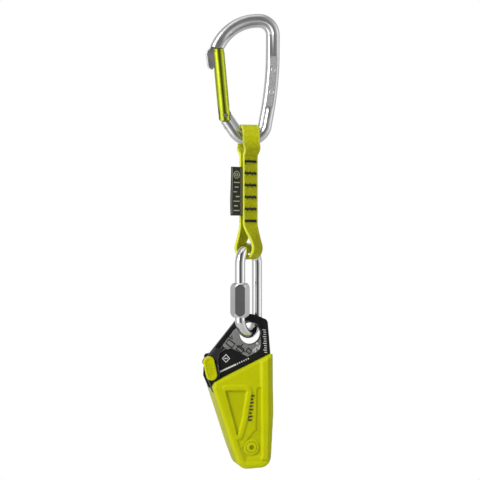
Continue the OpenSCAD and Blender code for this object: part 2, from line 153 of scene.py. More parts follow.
def material(name, colour, rough=0.5, metallic=0.0, vary=0.12, grain=180.0, rough_vary=0.08,
             bump=0.0, bump_grain=900.0, sheen=0.0, weave=None, scratches=0.0, subsurface=0.0,
             specular=0.5, painted_depth_shade=None):
    m = bpy.data.materials.new(name)
    m.use_nodes = True
    t = m.node_tree
    bsdf = t.nodes["Principled BSDF"]
    for socket, value in (("Metallic", metallic), ("Sheen Weight", sheen), ("Subsurface Weight", subsurface),
                          ("Specular IOR Level", specular), ("Subsurface Scale", 0.002)):
        bsdf.inputs[socket].default_value = value
    here = put(t, "TexCoord").outputs["Object"]
    noise = put(t, "TexNoise", {"Vector": here, "Scale": grain, "Detail": 5}).outputs["Fac"]
    tint = put(t, "ValToRGB", {"Fac": noise})
    for end, at, share in ((0, 0.3, 1 - vary), (1, 0.7, 1 + vary)):
        tint.color_ramp.elements[end].position = at
        tint.color_ramp.elements[end].color = [min(1, c * share) for c in colour] + [1]
    colour_out = tint.outputs["Color"]
    spread = put(t, "MapRange", {"Value": noise, "To Min": max(0.02, rough - rough_vary),
                                 "To Max": min(1, rough + rough_vary)})
    t.links.new(spread.outputs["Result"], bsdf.inputs["Roughness"])
    normal = None

    def add_bump(height, strength, distance):
        nonlocal normal
        inputs = {"Strength": strength, "Distance": distance, "Height": height}
        if normal:
            inputs["Normal"] = normal
        normal = put(t, "Bump", inputs).outputs["Normal"]

    if weave:
        # weave = (threads across, threads along, darker gap colour share) in UV millimetres
        across, along, gap = weave
        uv = put(t, "UVMap", uv_map="flat")
        split = put(t, "SeparateXYZ", {"Vector": uv.outputs["UV"]})

        def wave(source, pitch):
            times = put(t, "Math", {0: source, 1: 2 * math.pi / pitch}, operation="MULTIPLY")
            return put(t, "Math", {0: times.outputs[0]}, operation="SINE").outputs[0]

        height = put(t, "Math", {0: wave(split.outputs["X"], across), 1: wave(split.outputs["Y"], along)},
                     operation="MULTIPLY").outputs[0]
        add_bump(height, 0.7, 0.00025)
        shade = put(t, "MapRange", {"Value": height, "From Min": -1, "To Min": 1 - gap})
        colour_out = product(t, colour_out, shade.outputs["Result"])
    if scratches:
        narrow = put(t, "Mapping", {"Vector": here, "Scale": (1, 1, 14)})
        lines = put(t, "TexNoise", {"Vector": narrow.outputs["Vector"], "Scale": 140, "Detail": 8})
        add_bump(lines.outputs["Fac"], scratches, 0.0001)
    if bump:
        fine = put(t, "TexNoise", {"Vector": here, "Scale": bump_grain, "Detail": 3})
        add_bump(fine.outputs["Fac"], bump, 0.0002)
    if painted_depth_shade:
        # (depth in millimetres, share of the colour) steps along Y: painted shade that darkens sunk faces and
        # side walls
        first, last = painted_depth_shade[0][0], painted_depth_shade[-1][0]
        depth = put(t, "SeparateXYZ", {"Vector": here}).outputs["Y"]
        reach = put(t, "MapRange", {"Value": depth, "From Min": first * MM, "From Max": last * MM})
        shades = put(t, "ValToRGB", {"Fac": reach.outputs["Result"]})
        grey_steps(shades.color_ramp, [((y - first) / (last - first), share) for y, share in painted_depth_shade])
        colour_out = product(t, colour_out, shades.outputs["Color"])
    t.links.new(colour_out, bsdf.inputs["Base Color"])
    if normal:
        t.links.new(normal, bsdf.inputs["Normal"])
    return m


LIME = {"colour": (0.64, 0.67, 0.0), "rough": 0.46, "vary": 0.04, "grain": 60, "rough_vary": 0.05,
        "bump": 0.08, "bump_grain": 1400, "subsurface": 0.04, "specular": 0.16}
M = {
    "alloy": material("bright_alloy", (0.66, 0.66, 0.67), 0.33, 1, 0.06, 120, 0.07, scratches=0.15),
    "panel": material("etched_alloy", (0.62, 0.62, 0.63), 0.55, 1, 0.45, 1600, 0.1, bump=0.5),
    "steel": material("bright_steel", (0.72, 0.72, 0.73), 0.10, 1, 0.04, 90, 0.03, scratches=0.05),
    "hard": material("hard_steel", (0.36, 0.36, 0.37), 0.3, 1, 0.1, 240, 0.08, scratches=0.2),
    "gate": material("gate_anodised", (0.40, 0.46, 0.03), 0.22, 1, 0.05, 120, 0.05, scratches=0.08),
    "webbing": material("lime_webbing", (0.80, 0.83, 0.004), 0.8, 0, 0.14, 500, 0.05, sheen=0.05,
                        weave=(1.25, 1.0, 0.36), specular=0.15),
    "selvedge": material("lime_selvedge", (0.86, 0.90, 0.06), 0.8, 0, 0.1, 600, 0.05, sheen=0.1,
                         weave=(0.7, 0.8, 0.2), specular=0.15),
    "thread": material("black_thread", (0.012, 0.014, 0.012), 0.65, 0, 0.3, 1500, 0.1, bump=0.4,
                       sheen=0.1),
    # dark olive thread: real stitching, partly painted shade of the front layer's step
    "stitch": material("green_thread_and_shade", (0.20, 0.25, 0.01), 0.7, 0, 0.3, 1500, 0.1, bump=0.4),
    "label": material("black_label", (0.016, 0.017, 0.014), 0.75, 0, 0.25, 900, 0.1, sheen=0.15,
                      weave=(0.5, 0.5, 0.4)),
    "cream": material("cream_print", (0.62, 0.62, 0.42), 0.7, 0, 0.15, 1200, 0.1, bump=0.3),
    "black": material("black_anodised", (0.007, 0.007, 0.008), 0.42, 0.1, 0.3, 300, 0.08, bump=0.08,
                      bump_grain=2200, specular=0.35),
    "etched": material("etched_plate", (0.27, 0.267, 0.264), 0.5, 0.3, 0.14, 700, 0.08, bump=0.15,
                       bump_grain=2600),
    "white": material("white_print", (0.80, 0.80, 0.78), 0.55, 0, 0.08, 900, 0.1, bump=0.1),
    "block": material("block_alloy", (0.33, 0.33, 0.35), 0.4, 1, 0.12, 260, 0.1, scratches=0.3),
    "lime": material("lime_plastic", **LIME),
    # painted shade: the covers' recess floors and side walls are darkened by depth along Y
    "cover": material("lime_cover_shaded", **LIME,
                      painted_depth_shade=((-8.4, 1.0), (-6.1, 0.97), (-4.4, 0.74), (18.0, 0.78), (21.6, 1.0))),
    "mark": material("dark_print", (0.035, 0.040, 0.010), 0.5, 0, 0.2, 900, 0.1, bump=0.2),
    "mark_black": material("black_mark", (0.004, 0.004, 0.004), 0.6, 0, 0.3, 900, 0.1, bump=0.1),
    "bronze": material("bronze", (0.52, 0.34, 0.14), 0.35, 1, 0.15, 260, 0.1, scratches=0.2),
    "housing": material("black_plastic", (0.018, 0.018, 0.019), 0.45, 0, 0.2, 300, 0.08, bump=0.15,
                        bump_grain=1500),
}


# ---- Meshes ----
def raw_mesh(name, verts, faces):
    mesh = bpy.data.meshes.new(name)
    mesh.from_pydata([tuple(float(c) * MM for c in v) for v in verts], [], [tuple(f) for f in faces])
    return mesh


def tidy(mesh, merge=0.002):
    """Vertices closer than merge become one, and all faces look outwards."""
    bm = bmesh.new()
    bm.from_mesh(mesh)
    if merge:
        bmesh.ops.remove_doubles(bm, verts=bm.verts, dist=merge * MM)
        bmesh.ops.dissolve_degenerate(bm, edges=bm.edges, dist=merge * MM / 4)
    bmesh.ops.recalc_face_normals(bm, faces=bm.faces)
    bm.to_mesh(mesh)
    bm.free()
    return mesh


def make(name, verts, faces, body, mat, slot, replaces=(), sharp=35, uv=None):
    mesh = raw_mesh(name, verts, faces)
    if uv is not None:
        layer = mesh.uv_layers.new(name="flat")
        for loop in mesh.loops:
            layer.data[loop.index].uv = uv[loop.vertex_index]
    return place(name, tidy(mesh, 0), body, mat, replaces, sharp)


def place(name, mesh, body, mat, replaces=(), sharp=35):
    mesh.materials.clear()
    mesh.materials.append(M[mat])
    mesh.shade_smooth()
    mesh.set_sharp_from_angle(angle=math.radians(sharp))
    obj = bpy.data.objects.new(name, mesh)
    scene.collection.objects.link(obj)
    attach(obj, body)
    if replaces:
        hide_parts(*replaces)
    return obj


def from_raw(verts, faces):
    return tidy(raw_mesh("part", verts, faces))


def rings_to_faces(n, k, loop):
    last = n if loop else n - 1
    faces = [(i * k + j, i * k + (j + 1) % k, (i + 1) % n * k + (j + 1) % k, (i + 1) % n * k + j)
             for i in range(last) for j in range(k)]
    if not loop:
        faces += [tuple(range(k - 1, -1, -1)), tuple(range((n - 1) * k, n * k))]
    return faces


def skin(rings, loop=False):
    return [p for r in rings for p in r], rings_to_faces(len(rings), len(rings[0]), loop)


def slab(outline, y0, y1, bevel=0.3, holes=(), steps=3):
    """A plate between y0 and y1 with rounded edges, as a mesh."""
    curve = bpy.data.curves.new("plate", "CURVE")
    curve.dimensions = "2D"
    curve.fill_mode = "BOTH"
    curve.extrude = ((y1 - y0) / 2 - bevel) * MM
    curve.bevel_depth = bevel * MM
    curve.offset = -bevel * MM
    curve.bevel_resolution = steps
    for loop in [outline, *holes]:
        spline = curve.splines.new("POLY")
        spline.points.add(len(loop) - 1)
        for point, p in zip(spline.points, loop):
            point.co = (p[0] * MM, p[1] * MM, 0, 1)
        spline.use_cyclic_u = True
    obj = bpy.data.objects.new("plate", curve)
    scene.collection.objects.link(obj)
    bpy.context.view_layer.update()
    mesh = bpy.data.meshes.new_from_object(obj.evaluated_get(bpy.context.evaluated_depsgraph_get()))
    bpy.data.objects.remove(obj)
    mesh.transform(Matrix.Translation((0, (y0 + y1) / 2 * MM, 0)) @ Matrix.Rotation(math.pi / 2, 4, "X"))
    return tidy(mesh)


def lathe(profile, n=64):
    """Closed solid of revolution about +Z; profile starts at the axis or at an inner wall."""
    rings = [[(r * math.cos(2 * math.pi * i / n), r * math.sin(2 * math.pi * i / n), z) for r, z in profile]
             for i in range(n)]
    return from_raw(*skin(rings, loop=True))


def combine(base, others, how):
    """Boolean of meshes; the result is a new mesh."""
    a = bpy.data.objects.new("a", base)
    scene.collection.objects.link(a)
    made = [a]
    for other in others:
        b = bpy.data.objects.new("b", other)
        scene.collection.objects.link(b)
        made.append(b)
        mod = a.modifiers.new("cut", "BOOLEAN")
        mod.operation = how
        mod.solver = "MANIFOLD"
        mod.object = b
    bpy.context.view_layer.update()
    mesh = bpy.data.meshes.new_from_object(a.evaluated_get(bpy.context.evaluated_depsgraph_get()))
    for o in made:
        bpy.data.objects.remove(o)
    return mesh


def tube(path, r, sides=8, loop=False, up=(0, 1, 0)):
    """A round wire along 3-D points, as vertices and faces."""
    pts = [np.asarray(p, float) for p in path]
    n = len(pts)
    rings, side = [], np.asarray(up, float)
    for i, p in enumerate(pts):
        a = pts[(i - 1) % n] if loop or i else p
        b = pts[(i + 1) % n] if loop or i < n - 1 else p
        d = unit(b - a)
        side = side - d * float(side @ d)
        side = unit(side) if np.linalg.norm(side) > 1e-6 else unit(np.cross(d, (0.3, 0.5, 0.8)))
        other = np.cross(d, side)
        turns = [2 * math.pi * k / sides for k in range(sides)]
        rings.append([p + r * (math.cos(t) * side + math.sin(t) * other) for t in turns])
    return skin(rings, loop)


def joined(parts):
    """Several (verts, faces) as one."""
    verts, faces = [], []
    for v, f in parts:
        base = len(verts)
        verts += list(v)
        faces += [tuple(i + base for i in face) for face in f]
    return verts, faces


def extrude_poly(poly, y0, y1):
    return skin([[(p[0], y0, p[1]) for p in poly], [(p[0], y1, p[1]) for p in poly]])


def block_faces(nx, nz):
    """Faces of a closed block; its front and its back are grids of nx + 1 by nz + 1 points."""
    w, half = nx + 1, (nx + 1) * (nz + 1)
    faces = []
    for j in range(nz):
        for i in range(nx):
            a = j * w + i
            faces.append((a, a + 1, a + w + 1, a + w))
            faces.append((half + a + w, half + a + w + 1, half + a + 1, half + a))
    rim = list(range(nx)) + [j * w + nx for j in range(nz)] \
        + [nz * w + i for i in range(nx, 0, -1)] + [j * w for j in range(nz, 0, -1)]
    return faces + [(b, a, half + a, half + b) for a, b in zip(rim, rim[1:] + rim[:1])]


def box(half_x, half_y, z0, z1):
    corners = ((-half_x, -half_y), (half_x, -half_y), (half_x, half_y), (-half_x, half_y))
    return from_raw(*skin([[(x, y, z) for x, y in corners] for z in (z0, z1)]))


# ---- Carabiner ----
TOP_C, TOP_R = (-1.9, -31), 36.4
SHOULDER_C, SHOULDER_R = (-1.9, -5.4), 10.8
BEND_C, BEND_R = (-10.3, -73.2), 13.2
PIVOT = np.array([-29.6, -68.6])
LEAN, GATE_LEN, GATE_R = 5.4, 51.6, 4.65
BAR_W, BAR_T = 10.8, 9.2
SPINE_R, SPINE_Z = 274, -16.7
bend_out = np.array(arc(BEND_C, BEND_R, -144.3, -144.3, 1)[0])
bar = arc(TOP_C, TOP_R, 158, 94, 44) + arc(SHOULDER_C, SHOULDER_R, 90, 0, 24) \
    + arc((8.9 - SPINE_R, SPINE_Z), SPINE_R, -1.5, -11.7, 44) + arc(BEND_C, BEND_R, -15, -144.3, 40) \
    + [PIVOT + unit(bend_out - PIVOT) * t for t in (8, 5.5, 3)]


def bar_section(p):
    """The bar's outline as (s, y), with a groove along each face except at the spine's panel."""
    panel = p[0] > 0 and -63 < p[1] < -20
    end = min(1.0, max(0.0, (p[0] + 33) / 8)) if p[1] > -30 and p[0] < 0 else 1.0
    deep = (0 if panel else 1.15) * end
    flat = 0.35 if panel and -62 < p[1] < -21.2 else 0
    steps = [math.sin(math.pi / 2 * k / 11) for k in range(-11, 12)]
    half = []
    for q in steps:
        y = BAR_T / 2 * (1 - abs(q) ** 3.0) ** 0.5
        s = BAR_W / 2 * q
        y -= deep * math.exp(-((s + 1.9) / 1.15) ** 2)
        if flat and abs(s) < 3.1:
            y = min(y, BAR_T / 2 - flat)
        half.append((s, max(y, 0.0)))
    return [(s, -y) for s, y in half] + [(s, y) for s, y in half[-2:0:-1]]


def bar_rings():
    out = []
    for i, p in enumerate(bar):
        d = unit(bar[min(len(bar) - 1, i + 1)] - bar[max(0, i - 1)])
        n = np.array([-d[1], d[0]])
        out.append([(p[0] + n[0] * s, y, p[1] + n[1] * s) for s, y in bar_section(p)])
    return out


def gate_place(mesh, opened=0):
    """Move a shape drawn along +Z from the origin to the gate, opened by so many degrees."""
    mesh.transform(Matrix.Translation((PIVOT[0] * MM, 0, PIVOT[1] * MM))
                   @ Matrix.Rotation(math.radians(opened - LEAN), 4, "Y"))
    return mesh


def rod(r, z0, z1, n=64, c=0.0):
    return lathe([(0.0001, z0), (r - c, z0), (r, z0 + c), (r, z1 - c), (r - c, z1), (0.0001, z1)], n)


def pin_y(p, r, y0, y1, n=48, chamfer=0.0):
    mesh = rod(r, y0, y1, n, chamfer)
    mesh.transform(Matrix.Translation((p[0] * MM, 0, p[1] * MM)) @ Matrix.Rotation(-math.pi / 2, 4, "X"))
    return mesh


body = from_raw(*skin(bar_rings()))
# room for the gate at several openings
room = [pin_y(PIVOT, 5.35, -10, 10)] \
    + [gate_place(rod(GATE_R + 0.3, 0, GATE_LEN + 0.35, 48), opened) for opened in (0, 3, 8, 14, 27)]
body = combine(body, room, "DIFFERENCE")
lobe = slab(rounded([[-33.2, -11, 0.5], [-39.6, -14.4, 0.8], [-44.2, -20.5, 4], [-42.6, -31.8, 3],
                     [-39.2, -33.8, 1], [-36.1, -29.5, 1.5], [-37.6, -24.5, 1.5], [-34.6, -18, 0.5]], 10),
            -1.9, 1.9, 0.5)
cam_c = PIVOT + 1.3 * np.array([math.cos(math.radians(20.4)), math.sin(math.radians(20.4))])
tongue = slab([PIVOT + q for q in ((-3.2, -2.4), (0.5, -10.5), (8.5, -6.3), (5, -0.5))], -2.1, 2.1, 0.1)
cam = pin_y(cam_c, 4, -2.09, 2.09)
body = combine(body, [lobe, tongue, cam], "UNION")
body = combine(body, [pin_y(PIVOT, 1.65, -10, 10)], "DIFFERENCE")
place("carabiner_bar", tidy(body), "carabiner", "alloy", ("carabiner_body",), 28)


def spine_point(degrees):
    a = math.radians(degrees)
    return 8.8 + SPINE_R * (math.cos(a) - 1), SPINE_Z + SPINE_R * math.sin(a)


# the spine's sunk panels: an etched skin with raised generic dashes and rings
PANEL_HALF = 2.9
panel_parts = []
for side in (-1, 1):
    y = side * (BAR_T / 2 - 0.35)
    rows = [spine_point(a) for a in np.linspace(-1.15, -9.35, 34)]
    face = [(x - PANEL_HALF, y + side * 0.04, z) for x, z in rows] \
        + [(x + PANEL_HALF, y + side * 0.04, z) for x, z in reversed(rows)]
    panel_parts.append(skin([face, [(x, y - side * 0.25, z) for x, _, z in face]]))
make("spine_panel", *joined(panel_parts), "carabiner", "panel", "bright_alloy")
mark_parts = []
for side in (-1, 1):
    y = side * (BAR_T / 2 - 0.30)
    for i in range(17):
        x, z = spine_point(-1.6 - i * 0.45)
        if i in (4, 12):
            mark_parts.append(tube([(x + 1.5 * math.cos(t), y, z + 1.5 * math.sin(t))
                                    for t in np.linspace(0, 2 * math.pi, 24, endpoint=False)], 0.2, 6, True))
        else:
            w, shift = (1.9, 1.1, 1.6, 0.8)[i % 4], (0, -0.8, 0.5, 0.9)[i % 4]
            mark_parts.append(tube([(x + shift - w, y, z), (x + shift + w, y, z - 0.1)], 0.22, 6))
make("spine_dashes", *joined(mark_parts), "carabiner", "alloy", "bright_alloy")

gate = lathe([(0.0001, -5.4), (GATE_R - 1.2, -5.4), (GATE_R, -4.2), (GATE_R, GATE_LEN - 2.6),
              (GATE_R - 0.35, GATE_LEN - 2.3), (GATE_R - 0.35, GATE_LEN - 1.7), (GATE_R, GATE_LEN - 1.4),
              (GATE_R, GATE_LEN - 0.7), (GATE_R - 0.7, GATE_LEN), (0.0001, GATE_LEN)], 96)
gate = gate_place(gate)
cheek = combine(pin_y(PIVOT, 4.75, -10, 10, 64), [gate_place(box(6, 12, -6, 1))], "INTERSECT")
upper = gate_place(box(6, 12, 0, 60))
gate = combine(gate, [combine(cheek, [upper], "UNION")], "INTERSECT")
SLOT_HALF = 2.4
slot_low = gate_place(box(12, SLOT_HALF, -12, 6.2))
slot_top = from_raw(*extrude_poly([(-50, -10), (-33.6, -10), (-33.9, -17.5), (-36.9, -24.5), (-35.3, -29.5),
                                   (-38.4, -34.6), (-50, -34.6)], -SLOT_HALF, SLOT_HALF))
bore = gate_place(rod(2.6, 0, 34, 48))
recesses = [pin_y(PIVOT, 2.4, -8, -3.9, 4), pin_y(PIVOT, 2.4, 3.9, 8, 4)]
gate = combine(gate, [slot_low, slot_top, bore, pin_y(PIVOT, 1.6, -10, 10)] + recesses, "DIFFERENCE")
place("gate_tube", tidy(gate), "gate", "gate", ("carabiner_gate",), 30)
rivet = pin_y(PIVOT, 1.58, -4.05, 4.05, 32, 0.3)
place("gate_rivet_pin", rivet, "gate", "alloy", ("gate_rivet",))


def helix(r, wire, turns, length, start=0.0, steps=26):
    n = turns * steps
    pts = []
    for i in range(n + 1):
        f = i / n
        rise = min(max((f * turns - 0.75) / (turns - 1.5), 0), 1)
        a = 2 * math.pi * f * turns
        pts.append((r * math.cos(a), r * math.sin(a), start + wire + rise * (length - 2 * wire)))
    return tube(pts, wire, 8, up=(0, 0, 1))


spring = gate_place(from_raw(*helix(2, 0.34, 10, 19.4, 14.5)))
spring = place("gate_coil", spring, "gate", "steel", ("gate_spring",), 60)
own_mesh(spring)

# ---- Sling ----
SLING_X, STACK_YAW, LINK_YAW = -10.4, 25, 46
UP_Z, UP_R, LOW_Z, LOW_R = -86.3, 10.0, -171, 7.9
TOP_Z, BOTTOM_Z, PITCH, WIDE, THICK = -99, -153, 2.1, 13, 2.0


def smooth(a, b, z):
    t = max(0.0, min(1.0, (z - a) / (b - a)))
    return t * t * (3 - 2 * t)


def yaw_at(z):
    if z > TOP_Z:
        return STACK_YAW * smooth(-89, TOP_Z, z)
    return STACK_YAW + (LINK_YAW - STACK_YAW) * smooth(-152, -167, z)


def tangent_angle(e, c, r):
    d = np.asarray(e, float) - np.asarray(c, float)
    return math.degrees(math.atan2(d[1], d[0])) + math.degrees(math.acos(r / np.linalg.norm(d)))


def between(a, b, n):
    return [np.asarray(a) * (1 - t / n) + np.asarray(b) * (t / n) for t in range(1, n)]


a_up = tangent_angle((PITCH, TOP_Z), (0, UP_Z), UP_R)
a_low = 180 - tangent_angle((-PITCH, BOTTOM_Z), (0, LOW_Z), LOW_R)
up_l = np.array([-math.cos(math.radians(a_up)) * UP_R, UP_Z + math.sin(math.radians(a_up)) * UP_R])
low_l = np.array([-math.cos(math.radians(a_low)) * LOW_R, LOW_Z + math.sin(math.radians(a_low)) * LOW_R])
up_r, low_r = up_l * (-1, 1), low_l * (-1, 1)
loop = arc((0, UP_Z), UP_R, a_up, 180 - a_up, 60) + between(up_l, (-PITCH, TOP_Z), 12) \
    + between((-PITCH, TOP_Z + 1), (-PITCH, BOTTOM_Z - 1), 72) + between((-PITCH, BOTTOM_Z), low_l, 14) \
    + arc((0, LOW_Z), LOW_R, 180 - a_low, 360 + a_low, 56) + between(low_r, (PITCH, BOTTOM_Z), 14) \
    + between((PITCH, BOTTOM_Z - 1), (PITCH, TOP_Z + 1), 72) + between((PITCH, TOP_Z), up_r, 12)
loop = [np.asarray(p, float) for p in loop]
for _ in range(3):
    loop = [(loop[i - 1] + 2 * p + loop[(i + 1) % len(loop)]) / 4 for i, p in enumerate(loop)]


def place_2d(q, u, z):
    a = math.radians(yaw_at(z))
    return (SLING_X + q * math.cos(a) - u * math.sin(a), q * math.sin(a) + u * math.cos(a), z)


def ribbon(path, closed, half, thick, cols, round_edge=0.35, rib=0.0, shift=0.0):
    """A woven band along (u, z) points, with UV in millimetres of its flat size."""
    n = len(path)
    qs = [math.sin(math.pi / 2 * (2 * k / (cols - 1) - 1)) for k in range(cols)]
    rings, uvs, run = [], [], 0.0
    for i, p in enumerate(path):
        a = path[(i - 1) % n] if closed or i else p
        b = path[(i + 1) % n] if closed or i < n - 1 else p
        d = unit(b - a)
        normal = np.array([-d[1], d[0]])
        if i:
            run += float(np.linalg.norm(p - path[i - 1]))
        ring, uv = [], []
        for sgn in (1, -1):
            for q in (qs if sgn > 0 else qs[::-1]):
                t = thick / 2 * (1 - round_edge * max(0, (abs(q) - 0.86) / 0.14) ** 2)
                t += rib * math.sin(2 * math.pi * (run / 1.9 + q * 1.5)) * (1 - abs(q))
                c = p + normal * sgn * t
                ring.append(place_2d(q * half + shift, c[0], c[1]))
                uv.append((q * half, run))
        rings.append(ring)
        uvs += uv
    return rings, uvs, run


rings, uvs, webbing_run = ribbon(loop, True, WIDE / 2, THICK, 15, rib=0.05)
webbing = make("sling_loop", *skin(rings, True), "sling", "webbing", "webbing", ("sling_webbing",), 50,
               uv=uvs)
# brighter woven edges
for s in (1, -1):
    edge_rings, edge_uv, _ = ribbon(loop, True, 0.75, THICK + 0.22, 5, 0.9, shift=s * (WIDE / 2 - 0.62))
    make("selvedge_" + ("right" if s > 0 else "left"), *skin(edge_rings, True), "sling", "selvedge",
         "webbing", (), 60, uv=edge_uv)
middle_path = [np.array([0.0, z]) for z in np.linspace(BOTTOM_Z + 1, TOP_Z - 2, 60)]
LAP_LEFT = 4.4      # the lap's left edge; its right edge is the webbing's
rings, uvs, run = ribbon(middle_path, False, (LAP_LEFT + WIDE / 2) / 2, THICK - 0.1, 9,
                         shift=(WIDE / 2 - LAP_LEFT) / 2)
overlap = make("sling_lap", *skin(rings), "sling", "webbing", "webbing", ("sling_overlap",), 50, uv=uvs)


def stack_point(x, y, z):
    a = math.radians(STACK_YAW)
    return (SLING_X + x * math.cos(a) - y * math.sin(a), x * math.sin(a) + y * math.cos(a), z)


FACE = PITCH + THICK / 2
TACKS, TACK_TOP, TACK_PITCH = 6, -104, 9.2
TACK_HALF, TACK_TALL, TACK_SHIFT = 5.65, 1.0, -0.6
tacks = []
for i in range(TACKS):
    z0 = TACK_TOP - TACK_PITCH * i
    for side in (-1, 1):
        y = side * (FACE + 0.12)
        thick_bar = i in (0, TACKS - 1)
        strokes = 30 if thick_bar else 15
        zig = []
        for k in range(strokes + 1):
            x = -TACK_HALF + 2 * TACK_HALF * k / strokes + TACK_SHIFT
            up_down = (TACK_TALL if k % 2 else -TACK_TALL) * (0.8 if thick_bar else 0.95)
            sway = 0.0 if thick_bar else 0.5 * math.sin(2 * math.pi * k / 5.5)
            zig.append(stack_point(x, y, z0 + up_down + sway))
        tacks.append(tube(zig, 0.36 if thick_bar else 0.46, 6, up=(0, 0, 1)))
        for h in (-0.45, 0.45) if thick_bar else (-0.4, 0.4):
            ends = [stack_point(x + TACK_SHIFT, y - side * 0.08, z0 + h) for x in (-TACK_HALF, TACK_HALF)]
            tacks.append(tube(ends, 0.34, 6, up=(0, 0, 1)))
    if i == 0:
        tacks.append(tube([stack_point(-5.9, -FACE - 0.12, z0), stack_point(-6.1, -FACE - 0.12, z0 - 1.8),
                           stack_point(-5.5, -FACE - 0.12, z0 - 2.5)], 0.34, 6))
make("bar_tacks", *joined(tacks), "sling", "thread", "thread", ("sling_bar_tacks",), 80)
# fine closing stitches at the top of the stitched part; their dark olive rows are also painted shade where
# the front layer ends in a step
closing = []
for row, z in enumerate((-95.0, -96.4)):
    for k in range(9):
        x = -5.2 + 1.25 * k + 0.3 * row
        closing.append(tube([stack_point(x, -FACE - 0.05, z), stack_point(x + 0.85, -FACE - 0.05, z)],
                            0.34, 6, up=(0, 0, 1)))
make("closing_stitches_and_shade", *joined(closing), "sling", "stitch", "thread", (), 80)

# woven label, folded into the stack's left edge
LABEL_OUT, LABEL_IN, LABEL_LEN, LABEL_HALF_T = 10.6, 1.9, 37.6, 0.38
LABEL_LOW = -146.0
LABEL_COLS, LABEL_ROWS = 14, 40


def label_point(x, z, off):
    """A point off the label's bowed middle surface."""
    out = max(0.0, (-WIDE / 2 - x) / LABEL_OUT)
    bow = 0.55 * out * math.sin(math.pi * (z - LABEL_LOW) / LABEL_LEN * 1.4 + 0.4) * out
    return stack_point(x, bow + off, z)


label_uv = [(-WIDE / 2 - LABEL_OUT + (LABEL_OUT + LABEL_IN) * c / LABEL_COLS,
             LABEL_LOW + LABEL_LEN * r / LABEL_ROWS)
            for r in range(LABEL_ROWS + 1) for c in range(LABEL_COLS + 1)]
label_pts = [label_point(x, z, off) for off in (LABEL_HALF_T, -LABEL_HALF_T) for x, z in label_uv]
label = make("label_band", label_pts, block_faces(LABEL_COLS, LABEL_ROWS), "sling", "label", "label",
             ("sling_label",), 40, uv=label_uv * 2)

prints = []
for off in (-0.42, 0.42):
    def line(pts, r=0.26, closed=False):
        prints.append(tube([label_point(x, z, off) for x, z in pts], r, 6, closed, up=(0, 1, 0)))
    for x in (-16.2, -7.6):
        line([(x, z) for z in np.linspace(-145.2, -109.2, 30)], 0.14)
    for r, n in ((2.7, 28), (1.1, 16)):
        line([(-11.9 + r * math.cos(t), -114.5 + r * math.sin(t))
              for t in np.linspace(0, 2 * math.pi, n, endpoint=False)], 0.3, True)
    for i, (x0, x1) in enumerate(((-14.6, -9.2), (-13.6, -10.2), (-14.6, -11.6), (-12.6, -9.2), (-14.6, -9.2),
                                  (-14.0, -11.0), (-14.6, -9.2))):
        line([(x0, -120.5 - 3.6 * i), (x1, -120.5 - 3.6 * i)], 0.5 if i % 2 else 0.4)
printed = make("label_print", *joined(prints), "sling", "cream", "label", (), 80)

# ---- Quick link ----
WIRE_R, BOW_R, BOW_Z = 4.0, 12.5, 20.5
LINK_Z = LOW_Z - BOW_R - BOW_Z
SLEEVE_Z, SLEEVE_LEN = LINK_Z + 6.2 - 26.4, 26.4
link_turn = math.radians(LINK_YAW)


def link_point(x, z, y=0.0):
    return (SLING_X + x * math.cos(link_turn) - y * math.sin(link_turn),
            x * math.sin(link_turn) + y * math.cos(link_turn), LINK_Z + z)


wire_path = [(-BOW_R, z) for z in np.linspace(-7.2, BOW_Z, 12)] \
    + [(-BOW_R * math.cos(t), BOW_Z + BOW_R * math.sin(t)) for t in np.linspace(0, math.pi, 49)][1:] \
    + [(BOW_R, z) for z in np.linspace(BOW_Z, -BOW_Z, 20)][1:] \
    + [(BOW_R * math.cos(t), -BOW_Z - BOW_R * math.sin(t)) for t in np.linspace(0, math.pi, 49)][1:] \
    + [(-BOW_R, z) for z in np.linspace(-BOW_Z, -17, 5)][1:]
wire_path = [link_point(x, z) for x, z in wire_path]
wire = from_raw(*tube(wire_path, WIRE_R, 40, up=(-math.sin(link_turn), math.cos(link_turn), 0)))
place("link_wire", wire, "link", "steel", ("quick_link_body",), 40)


def thread_ridge(z0, z1, turns):
    n = int(turns * 30)
    pts = [link_point(-BOW_R + WIRE_R * math.cos(2 * math.pi * turns * i / n), z0 + (z1 - z0) * i / n,
                      WIRE_R * math.sin(2 * math.pi * turns * i / n)) for i in range(n + 1)]
    return tube(pts, 0.045, 6, up=(0, 0, 1))


make("link_threads", *joined([thread_ridge(-18.4, -17.2, 2), thread_ridge(-7, 1, 9)]), "link", "steel",
     "bright_steel", (), 80)
corner = 13 / 2 / math.cos(math.radians(30))
hexagon = from_raw(*skin([[(corner * math.cos(math.radians(60 * i)), corner * math.sin(math.radians(60 * i)),
                            z) for i in range(6)] for z in (0, SLEEVE_LEN)]))
turned_shape = lathe([(4.05, 0.5), (4.5, 0), (corner - 1.75, 0), (corner - 0.9, 1.1), (corner, 3.4),
                      (corner + 0.2, 4.5), (corner + 0.2, SLEEVE_LEN - 4.5), (corner, SLEEVE_LEN - 3.4),
                      (corner - 0.9, SLEEVE_LEN - 1.1), (corner - 1.75, SLEEVE_LEN), (4.5, SLEEVE_LEN),
                      (4.05, SLEEVE_LEN - 0.5)], 96)
hexagon.transform(Matrix.Rotation(math.radians(-LINK_YAW - 12), 4, "Z"))
sleeve = combine(turned_shape, [hexagon], "INTERSECT")
sleeve.transform(Matrix.Translation(Vector(link_point(-BOW_R, SLEEVE_Z - LINK_Z)) * MM)
                 @ Matrix.Rotation(link_turn, 4, "Z"))
place("link_nut", tidy(sleeve), "link_sleeve", "steel", ("quick_link_sleeve",), 22)

